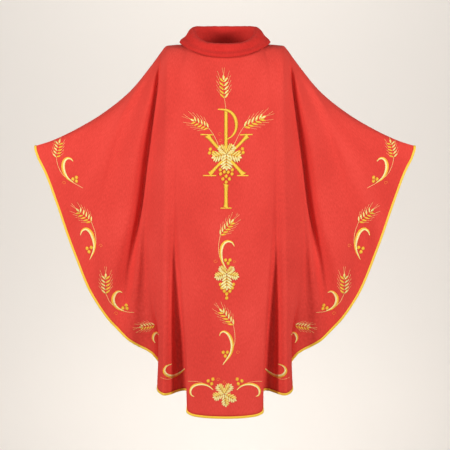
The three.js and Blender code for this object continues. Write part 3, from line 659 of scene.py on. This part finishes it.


# The collar wears the darker copy of the scarlet cloth, which is painted shade.
collar = grid_object("rolled_collar", collar_grid(), shaded_scarlet, flip=False, closed=True)
thicken(collar, COLLAR_THICKNESS)
finish_piece(collar, "collar_cloth", "collar_fall", "collar_stand", "collar_interfacing")
collar_area = mesh_area(np.concatenate([collar_grid(), collar_grid()[:1]]))
print(f"collar area {collar_area:.3f}")

# %% [markdown]
# ## Embroidery
# Every motif is laid in thread, stitch by stitch: satin stitches side by side across the letters,
# the grains, the grapes and the crescents, slanting stitches on both sides of each leaf vein, and
# small running stitches for stalks, awns and curls. A motif is first drawn flat, in millimetres
# across and up, as a list of stitches with a start, an end, a tone, a thickness and a lift.

# %% Paths for the thread
def thread_path(points, spacing):
    control = np.array(points, dtype=float)[:, None, :]
    dense = spline(control, [14] * (len(points) - 1))[:, 0]
    lengths = np.concatenate([[0], np.cumsum(np.linalg.norm(np.diff(dense, axis=0), axis=1))])
    stations = np.linspace(0, lengths[-1], max(3, round(lengths[-1] / spacing) + 1))
    places = np.stack([np.interp(stations, lengths, dense[:, k]) for k in range(2)], axis=1)
    headings = np.gradient(places, axis=0)
    headings /= np.linalg.norm(headings, axis=1, keepdims=True)
    return places, headings, stations / lengths[-1]


def at(value, share):
    return value(share) if callable(value) else value


def satin(points, width, tone, slant=0.3, offset=0.0, spacing=0.85, thread=1.15, lift=0.35):
    """Stitches across a path. offset moves the band sideways, as a share of its full width."""
    stitches = []
    for place, heading, share in zip(*thread_path(points, spacing)):
        across = np.array((-heading[1], heading[0]))
        half = at(width, share) / 2
        middle = place + across * at(offset, share)
        reach = across * half + heading * slant * half
        stitches.append((middle - reach, middle + reach, tone, thread, lift))
    return stitches


def running(points, tone, thread=0.8, length=3.0, lift=0.2):
    """Stitches end to end, each lapping its neighbours so that the line has no gaps."""
    places, _, _ = thread_path(points, length)
    return [(first - 0.3 * (second - first), second + 0.3 * (second - first), tone, thread, lift)
            for first, second in zip(places[:-1], places[1:])]


CREAM, PALE, LIGHT_GOLD, GOLD, OCHRE, BROWN, ORANGE = 0.98, 0.86, 0.66, 0.44, 0.30, 0.13, -0.05


# %% Grains, ears and grapes
AWN_THREAD, AWN_STITCH = 0.78, 7.0
def grain(root, tip, width, tone, painted_highlight_tone, lift=0.5):
    """A pointed grain with a raised, lighter ridge over its fuller side: the ridge is a painted
    highlight.
    """
    plump = lambda share: width * (0.12 + 0.88
                                   * math.sin(math.pi * min(1, 0.05 + 0.95 * share)) ** 0.8)
    body = satin([root, tip], plump, tone, slant=0.25, lift=lift)
    return body + satin([root, tip], lambda s: 0.5 * plump(s), painted_highlight_tone, 0.25,
                        lambda s: 0.1 * plump(s), 1.0, 1.0, lift + 0.4)


def wheat_ear(base, tip, half_width, awn, light_side=-1, pairs=5):
    base, tip = np.array(base, float), np.array(tip, float)
    length = np.linalg.norm(tip - base)
    forward = (tip - base) / length
    side = np.array((-forward[1], forward[0]))
    grain_length = 0.265 * length
    grain_width = 0.092 * length
    stitches = []
    for pair in range(pairs):
        root = base + forward * length * 0.86 * pair / pairs
        spread = half_width * (0.80 + 0.20 * math.sin(math.pi * (pair + 1) / (pairs + 1)))
        lean = math.asin(min(0.84, 0.92 * spread / grain_length))
        for hand in (-1, 1):
            heading = forward * math.cos(lean) + side * hand * math.sin(lean)
            end = root + heading * grain_length
            # Each pair holds a grain's own tone and the tone of its painted highlight.
            tones = (LIGHT_GOLD, CREAM) if hand == light_side else (GOLD, LIGHT_GOLD)
            stitches += grain(root + heading * 2.0, end, grain_width, *tones)
            fan = 0.62 - 0.42 * pair / pairs
            reach = awn * (0.75 + 0.25 * pair / pairs)
            awn_tip = end + (forward * math.cos(fan) + side * hand * math.sin(fan)) * reach
            stitches += running([end - heading * 2, awn_tip], PALE, AWN_THREAD, AWN_STITCH)
    stitches += grain(tip - forward * 0.8 * grain_length, tip, 1.2 * grain_width, LIGHT_GOLD, CREAM)
    for fan in (-0.16, 0.16):
        awn_tip = tip + (forward * math.cos(fan) + side * math.sin(fan)) * awn
        stitches += running([tip - forward * 2, awn_tip], PALE, AWN_THREAD, AWN_STITCH)
    return stitches


def grape(x, z, radius=6.2):
    stitches = []
    rows = 14
    for row in range(rows):
        height = radius * (2 * (row + 0.5) / rows - 1)
        half = math.sqrt(radius ** 2 - height ** 2) - 0.3
        tone = GOLD if abs(height) < radius * 0.55 else OCHRE
        middle = np.array((x + 0.35 * height, z + 0.93 * height))
        reach = np.array((0.93, -0.35)) * half
        stitches.append((middle - reach, middle + reach, tone + 0.1, 1.1,
                         0.5 + 0.9 * half / radius))
    return stitches


def bunch(*places):
    return [stitch for x, z in places for stitch in grape(x, z)]


# %% Crescents, curls and leaves
def crescent(points, width, full_at=0.45, gold_side=1):
    def fullness(share):
        edge = share / full_at if share < full_at else (1 - share) / (1 - full_at)
        return width * (0.16 + 0.84 * math.sin(edge * math.pi / 2))
    cream = satin(points, lambda s: 0.58 * fullness(s), PALE + 0.06, 0.5,
                  lambda s: -gold_side * 0.21 * fullness(s), lift=0.6)
    golden = satin(points, lambda s: 0.46 * fullness(s), GOLD + 0.06, 0.5,
                   lambda s: gold_side * 0.28 * fullness(s), lift=0.5)
    return cream + golden


def curl(x, z, radius=7.0, turn=1):
    points = []
    for step in range(7):
        angle = turn * step * 1.0
        points.append((x + radius * (1 - step / 9) * math.cos(angle),
                       z + radius * (1 - step / 9) * math.sin(angle)))
    return running(points, ORANGE, 1.2, 2.4)


def vine_leaf(centre, lobes):
    """Each lobe is the place of its point. Threads slant from its vein to a toothed edge."""
    centre = np.array(centre, float)
    stitches, veins = [], []
    angles = [math.atan2(z - centre[1], x - centre[0]) for x, z in lobes]
    for (x, z), angle in zip(lobes, angles):
        point = np.array((x, z), float)
        length = np.linalg.norm(point - centre) + 2
        heading = (point - centre) / (length - 2)
        side = np.array((-heading[1], heading[0]))
        gaps = [abs((angle - other + math.pi) % (2 * math.pi) - math.pi) for other in angles
                if other != angle]
        widest = min(0.42 * length, length * 0.66 * math.tan(min(gaps) / 2))
        under = lambda share: 0.8 * widest * math.sin(math.pi * min(1, 0.12 + 0.80 * share)) ** 0.8
        stitches += satin([centre + heading * length * 0.14, centre + heading * length * 0.86],
                          under, OCHRE, 0.9, spacing=1.0)
        for share, reach in ((0.06, 0.55), (0.22, 0.80), (0.39, 1.0), (0.56, 0.94), (0.72, 0.66)):
            for hand in (-1, 1):
                start = centre + heading * length * share + side * hand * 0.8
                end = start + (side * hand * 0.80 + heading * 0.62) * widest * reach
                tones = (LIGHT_GOLD, PALE) if hand * heading[0] > 0 else (PALE, CREAM)
                stitches += grain(start, end, 0.132 * length, *tones)
        stitches += grain(centre + heading * length * 0.72, point + heading, 0.16 * length, PALE,
                          CREAM)
        veins += running([centre + heading * 2, centre + heading * length * 0.84], BROWN, 0.9, 3.0,
                         1.5)
    return stitches + veins


# %% Letters
def stroke(points, width, flare=0.0, tone=GOLD, slant=0.25):
    length = sum(math.dist(a, b) for a, b in zip(points[:-1], points[1:]))

    def wide(share):
        from_end = min(share, 1 - share) * length
        return at(width, share) + flare * math.exp(-from_end / 8.0)
    # The ochre band under each stroke is painted shade along its edges, and the lighter raised band
    # on top is a painted highlight along its middle.
    painted_shade_edges = satin(points, wide, OCHRE, slant, lift=0.4)
    return painted_shade_edges + satin(points, lambda s: 0.72 * wide(s), tone + 0.16, slant, lift=0.75)


def monogram_letters():
    bowl_width = lambda share: 4 + 9 * math.sin(math.pi * min(1, share * 1.06)) ** 1.3
    hook = [(-24, -221), (-8, -222), (12, -226), (30, -242), (39, -269), (35, -297), (23, -314),
            (6, -325)]
    return (
        stroke([(3.5, -229), (3.5, -374)], 13.5)
        + stroke([(3.5, -479), (3.5, -558)], 13.5, 9)
        + stroke([(-15, -561), (22, -561)], 4)
        + stroke(hook, bowl_width)
        + stroke([(-60, -312), (-30, -347), (32, -411), (63, -445)], 13, 15)
        + stroke([(77, -312), (46, -345), (-22, -412), (-52, -445)], 11, 15)
        + stroke([(-84, -308), (-42, -309)], 4.5) + stroke([(52, -309), (94, -308)], 4.5)
        + stroke([(-75, -449), (-31, -449)], 4) + stroke([(42, -449), (80, -449)], 4)
    )


# %% [markdown]
# A small node tree turns the stitches into thread. Each stitch is a point with its direction, the
# cloth's normal, its size and its tone; a small spindle is placed there and aligned with both.

# %% The thread tree
def thread_tree(material):
    tree = bpy.data.node_groups.new("satin_threads", "GeometryNodeTree")
    interface = tree.interface
    interface.new_socket("Geometry", in_out="INPUT", socket_type="NodeSocketGeometry")
    facets = interface.new_socket("Thread facets", in_out="INPUT", socket_type="NodeSocketInt")
    facets.default_value = 5
    rings = interface.new_socket("Thread rings", in_out="INPUT", socket_type="NodeSocketInt")
    rings.default_value = 5
    interface.new_socket("Geometry", in_out="OUTPUT", socket_type="NodeSocketGeometry")
    nodes, links = tree.nodes, tree.links
    group_in = nodes.new("NodeGroupInput")
    group_out = nodes.new("NodeGroupOutput")

    def named(name, kind):
        node = nodes.new("GeometryNodeInputNamedAttribute")
        node.data_type = kind
        node.inputs["Name"].default_value = name
        return node.outputs["Attribute"]

    spindle = nodes.new("GeometryNodeMeshUVSphere")
    spindle.inputs["Radius"].default_value = 0.5
    links.new(group_in.outputs["Thread facets"], spindle.inputs["Segments"])
    links.new(group_in.outputs["Thread rings"], spindle.inputs["Rings"])
    place = nodes.new("GeometryNodeInputPosition")
    apart = nodes.new("ShaderNodeSeparateXYZ")
    links.new(place.outputs["Position"], apart.inputs["Vector"])
    # spot is the place along each stitch. The thread finish uses it to paint shade towards the
    # stitch ends.
    spot = nodes.new("GeometryNodeStoreNamedAttribute")
    spot.data_type = "FLOAT"
    spot.inputs["Name"].default_value = "spot"
    links.new(spindle.outputs["Mesh"], spot.inputs["Geometry"])
    links.new(apart.outputs["Z"], spot.inputs["Value"])

    along = nodes.new("FunctionNodeAlignRotationToVector")
    along.axis = "Z"
    links.new(named("along", "FLOAT_VECTOR"), along.inputs["Vector"])
    facing = nodes.new("FunctionNodeAlignRotationToVector")
    facing.axis = "X"
    facing.pivot_axis = "Z"
    links.new(along.outputs["Rotation"], facing.inputs["Rotation"])
    links.new(named("lift", "FLOAT_VECTOR"), facing.inputs["Vector"])

    instances = nodes.new("GeometryNodeInstanceOnPoints")
    links.new(group_in.outputs["Geometry"], instances.inputs["Points"])
    links.new(spot.outputs["Geometry"], instances.inputs["Instance"])
    links.new(facing.outputs["Rotation"], instances.inputs["Rotation"])
    links.new(named("size", "FLOAT_VECTOR"), instances.inputs["Scale"])
    realized = nodes.new("GeometryNodeRealizeInstances")
    links.new(instances.outputs["Instances"], realized.inputs["Geometry"])
    smooth = nodes.new("GeometryNodeSetShadeSmooth")
    links.new(realized.outputs["Geometry"], smooth.inputs["Geometry"])
    painted = nodes.new("GeometryNodeSetMaterial")
    painted.inputs["Material"].default_value = material
    links.new(smooth.outputs["Geometry"], painted.inputs["Geometry"])
    links.new(painted.outputs["Geometry"], group_out.inputs["Geometry"])
    print("thread tree with", len(nodes), "nodes")
    return tree


# %% Shiny thread, from orange through gold to cream
def thread_finish():
    material, nodes, links, shader = new_material("embroidery_thread", 0.38, 0.1, (1, 0.95, 0.8))
    tone = nodes.new("ShaderNodeAttribute")
    tone.attribute_name = "tone"
    spot = nodes.new("ShaderNodeAttribute")
    spot.attribute_name = "spot"
    # Each stitch is painted darker towards both of its ends: painted shade where the thread dips
    # into the cloth.
    end = math_node(nodes, links, "ABSOLUTE", spot.outputs["Fac"], 0)
    painted_end_shade = math_node(nodes, links, "MULTIPLY", math_node(nodes, links, "POWER", end, 2.5), 0.6)
    shade = math_node(nodes, links, "SUBTRACT", tone.outputs["Fac"], painted_end_shade)
    color = ramp(nodes, links, shade, [
        (0.02, (0.94, 0.30, 0.040)), (0.12, (0.42, 0.14, 0.012)), (0.28, (0.74, 0.32, 0.014)),
        (0.44, (0.96, 0.54, 0.030)), (0.66, (0.98, 0.68, 0.080)), (0.86, (0.98, 0.82, 0.30)),
        (0.98, (0.98, 0.90, 0.50)),
    ])
    links.new(color, shader.inputs["Base Color"])
    return material


embroidery_tree = thread_tree(thread_finish())

# %% Lay a motif on the cloth
def on_cloth(side, x, z):
    place, normal, _, _ = surfaces[side].ray_cast(Vector((x, side * 1.0, z)), Vector((0, -side, 0)))
    if place is None:
        return None
    return place, normal if normal.y * side > 0 else -normal


shade_of_thread = np.random.default_rng(11)


def embroider(node, slot, side, stitches, mirror=1, raised=0.0):
    """mirror is -1 for a motif on the other half. The back is seen from behind, so it is turned."""
    turn = -side * mirror * 0.001
    rows = []
    for start, end, tone, thickness, lift in stitches:
        middle = (np.array(start) + np.array(end)) / 2
        hits = [on_cloth(side, x * turn, z * 0.001) for x, z in (start, middle, end)]
        if None in hits:
            continue
        (first, _), (centre, normal), (last, _) = hits
        along = last - first
        length = along.length + 0.0009
        if along.length < 1e-5:
            continue
        tone += shade_of_thread.uniform(-0.035, 0.035)
        rows.append((centre + normal * (lift + raised) * 0.001, along.normalized(), normal,
                     (thickness * 0.0008, thickness * 0.001, length), tone))
    mesh = bpy.data.meshes.new(f"{node}_points")
    mesh.from_pydata([tuple(row[0]) for row in rows], [], [])
    for name, column in (("along", 1), ("lift", 2), ("size", 3)):
        layer = mesh.attributes.new(name, "FLOAT_VECTOR", "POINT")
        layer.data.foreach_set("vector", np.array([tuple(row[column]) for row in rows]).ravel())
    tone_layer = mesh.attributes.new("tone", "FLOAT", "POINT")
    tone_layer.data.foreach_set("value", [row[4] for row in rows])
    seeds = bpy.data.objects.new(f"{node}_seeds", mesh)
    bpy.context.collection.objects.link(seeds)
    modifier = seeds.modifiers.new("threads", "NODES")
    modifier.node_group = embroidery_tree
    bpy.context.view_layer.update()
    evaluated = seeds.evaluated_get(bpy.context.evaluated_depsgraph_get())
    thread_mesh = bpy.data.meshes.new_from_object(evaluated)
    thread_mesh.name = f"{node}_thread"
    bpy.data.objects.remove(seeds)
    bpy.data.meshes.remove(mesh)
    piece = bpy.data.objects.new(f"{node}_thread", thread_mesh)
    bpy.context.collection.objects.link(piece)
    finish_piece(piece, slot, node)
    return len(rows)


# %% Embroidery down the middle, on the front and on the back
EARS = {
    "wheat_ear_top": wheat_ear((-2, -183), (-5, -104), 17, 24, -1)
    + running([(-2, -183), (0, -198), (3, -220)], PALE, 1.3),
    "wheat_ear_left": wheat_ear((-57, -285), (-119, -255), 16, 28, -1)
    + running([(-57, -285), (-43, -303), (-31, -325), (-24, -342)], PALE, 1.3),
    "wheat_ear_right": wheat_ear((65, -281), (141, -245), 16, 28, 1)
    + running([(65, -281), (53, -299), (40, -324), (31, -343)], PALE, 1.3),
}
MOTIFS = {
    "monogram": monogram_letters(),
    "monogram_leaf": vine_leaf((5, -374), [(-20, -346), (-46, -388), (5, -431), (57, -388),
                                           (31, -343)]),
    "monogram_grapes_low": bunch((-16, -429), (-15, -443), (-2, -436), (11, -437), (25, -429),
                                 (24, -443),
                                 (4, -451), (-7, -460), (15, -460), (4, -471)),
    "monogram_grapes_left": bunch((-50, -358), (-53, -371), (-40, -369)) + curl(-19, -307)
    + curl(-16, -329),
    "monogram_grapes_right": bunch((60, -357), (49, -367), (62, -370)),
    **EARS,
    "column_spray_upper": wheat_ear((-16, -654), (31, -599), 15, 24, 1)
    + running([(-16, -654), (-21, -680), (-22, -712), (-15, -738), (-2, -758)], PALE, 1.3)
    + crescent([(32, -692), (25, -680), (13, -675), (0, -679), (-10, -693), (-14, -716), (-9, -746),
                (5, -772)],
               11, 0.42, -1)
    + bunch((2, -740), (17, -740), (11, -751)) + curl(-33, -743, 7, -1) + curl(32, -747, 5.5),
    "column_leaf": vine_leaf((6, -787), [(-19, -763), (-36, -800), (6, -844), (48, -799),
                                         (31, -764)]),
    "column_grapes": bunch((-16, -824), (-11, -836), (-2, -847), (29, -824), (25, -836), (17, -847),
                           (6, -857), (6, -871)),
    "column_spray_lower": wheat_ear((29, -964), (-19, -908), 15, 24, -1)
    + running([(29, -964), (34, -996), (33, -1028), (25, -1050)], PALE, 1.3)
    + crescent([(-19, -1001), (-14, -991), (-5, -987), (8, -993), (19, -1009), (25, -1034),
                (20, -1062), (-7, -1102)],
               11, 0.42, 1)
    + bunch((-6, -1059), (8, -1059), (1, -1072)) + curl(44, -1060),
    "hem_leaf": vine_leaf((-2, -1204), [(-26, -1171), (-42, -1216), (3, -1248), (39, -1227),
                                        (22, -1170)])
    + curl(-24, -1154, 7) + curl(-3, -1161, 6, -1),
}
SCROLL = (
    crescent([(-41, -1189), (-55, -1177), (-75, -1170), (-96, -1171), (-113, -1180), (-120, -1195),
              (-116, -1208),
              (-107, -1213)], 9, 0.62, -1)
    + running([(-60, -1176), (-76, -1166), (-96, -1161), (-127, -1160)], PALE, 1.0)
    + bunch((-58, -1158), (-42, -1152), (-46, -1168))
)
MIRRORED_SCROLL = [((-start[0], start[1]), (-end[0], end[1]), *rest) for start, end,
                   *rest in SCROLL]
MOTIFS["hem_scroll_left"] = SCROLL
MOTIFS["hem_scroll_right"] = MIRRORED_SCROLL
RAISED = {"monogram_leaf": 1.0, "monogram_grapes_low": 1.0, "column_leaf": 1.0}
GOLD_NODES = ("monogram", "monogram_grapes", "column_grapes", "hem_scroll")

for side, word in ((-1, "front"), (1, "back")):
    total = 0
    for name, stitches in MOTIFS.items():
        golden = name.startswith(GOLD_NODES) and name != "monogram_leaf"
        total += embroider(f"{name}_{word}", "gold_thread" if golden else "pale_gold_thread", side,
                           stitches,
                           raised=RAISED.get(name, 0.0))
    print(word, "stitches", total)

# %% Sprays along the wing hem
WING_SPRAYS = [
    wheat_ear((585, -391), (572, -329), 17, 15, -1)
    + running([(585, -391), (579, -420), (562, -451), (531, -475), (493, -496)], PALE, 1.4)
    + crescent([(526, -404), (534, -396), (545, -394), (556, -402), (561, -421), (557, -443),
                (545, -463),
                (524, -479)], 12, 0.45, 1)
    + bunch((526, -466), (514, -460), (514, -473)) + curl(557, -480),
    wheat_ear((463, -613), (516, -569), 17, 22, 1)
    + running([(463, -613), (450, -650), (447, -686), (455, -716), (469, -745)], PALE, 1.4)
    + crescent([(501, -660), (495, -645), (482, -638), (467, -648), (457, -669), (452, -693),
                (455, -715),
                (467, -742)], 12, 0.38, -1)
    + bunch((478, -706), (463, -703), (471, -718)) + curl(430, -696),
    wheat_ear((413, -862), (413, -791), 17, 22, -1)
    + running([(413, -862), (399, -891), (374, -915), (347, -926), (316, -928)], PALE, 1.4)
    + crescent([(357, -859), (369, -855), (381, -863), (388, -880), (384, -900), (371, -915),
                (350, -925)],
               12, 0.42, 1)
    + bunch((342, -904), (354, -914), (339, -915)) + curl(378, -933),
    wheat_ear((244, -972), (299, -982), 12, 20, 1)
    + crescent([(229, -1001), (240, -999), (248, -1009), (249, -1023), (243, -1034)], 9, 0.4, 1),
    crescent([(185, -1104), (199, -1107), (208, -1115), (210, -1127), (202, -1139), (188, -1146),
              (172, -1146),
              (156, -1138), (139, -1122)], 11, 0.55, 1)
    + running([(222, -1148), (200, -1155), (182, -1153), (166, -1144)], PALE, 1.0),
]
for index, stitches in enumerate(WING_SPRAYS):
    for hand, mirror in (("left", 1), ("right", -1)):
        count = embroider(f"wing_spray_{index + 1}_{hand}", "pale_gold_thread", -1, stitches,
                          mirror)
    print("wing spray", index + 1, "stitches", count)

# %% [markdown]
# ## Stage, light and camera
# The garment is seen square from the front, from far away, against a plain pale wall and floor.

# %% Backdrop
def plain_material(name, color):
    material, _, _, shader = new_material(name, 0.95)
    shader.inputs["Base Color"].default_value = (*color, 1)
    return material


FLOOR_Z = -2.3
WALL_Y = 2.6
WALL_HALF_WIDTH = 1.05
profile = [(1.0, FLOOR_Z), (WALL_Y - 0.8, FLOOR_Z)]
profile += [(WALL_Y - 0.8 + 0.8 * math.sin(a), FLOOR_Z + 0.8 - 0.8 * math.cos(a))
            for a in np.linspace(0.15, math.pi / 2, 12)]
profile += [(WALL_Y, 1.2)]
cove = np.array([[(x, y, z) for y, z in profile] for x in (-WALL_HALF_WIDTH, WALL_HALF_WIDTH)])
backdrop = grid_object("backdrop", cove, plain_material("pale_paper", (0.86, 0.81, 0.75)),
                       flip=True)

# %% Lights
def soft_light(name, place, target, size, power, color=(1, 1, 1)):
    data = bpy.data.lights.new(name, "AREA")
    data.shape = "SQUARE"
    data.size = size
    data.energy = power
    data.color = color
    lamp = bpy.data.objects.new(name, data)
    lamp.location = place
    lamp.rotation_euler = (Vector(target) - Vector(place)).to_track_quat("-Z", "Y").to_euler()
    bpy.context.collection.objects.link(lamp)


soft_light("side_left", (-3.3, -2.7, 0.2), (0, 0, -0.75), 1.0, 118)
soft_light("side_right", (3.3, -2.7, 0.2), (0, 0, -0.75), 1.0, 113)
soft_light("front_top", (0, -4.2, 2.2), (0, 0, -0.9), 0.9, 46)
soft_light("wall_low", (0, 1.4, -2.0), (0, 2.6, -1.0), 0.8, 9)
soft_light("wall_high", (0, 1.4, 1.0), (0, 2.6, 0.1), 0.8, 9)
world = bpy.data.worlds.new("studio")
world.use_nodes = True
world.node_tree.nodes["Background"].inputs["Color"].default_value = (1.0, 0.97, 0.93, 1)
world.node_tree.nodes["Background"].inputs["Strength"].default_value = 0.15
bpy.context.scene.world = world
bpy.context.scene.view_settings.view_transform = "Standard"

# %% Camera
VIEW_WIDTH = 1.5595
VIEW_CENTRE_Z = -0.6255
CAMERA_DISTANCE = 14.0
CAMERA_Z = 0.25
AIM = Vector((0, -0.04, VIEW_CENTRE_Z))
camera_data = bpy.data.cameras.new("camera")
camera_data.sensor_width = 36
camera_place = Vector((0, -CAMERA_DISTANCE, CAMERA_Z))
camera_data.lens = 36 * (AIM - camera_place).length / VIEW_WIDTH
camera_data.clip_end = 40
camera = bpy.data.objects.new("camera", camera_data)
camera.location = camera_place
camera.rotation_euler = (AIM - camera_place).to_track_quat("-Z", "Y").to_euler()
bpy.context.collection.objects.link(camera)
bpy.context.scene.camera = camera
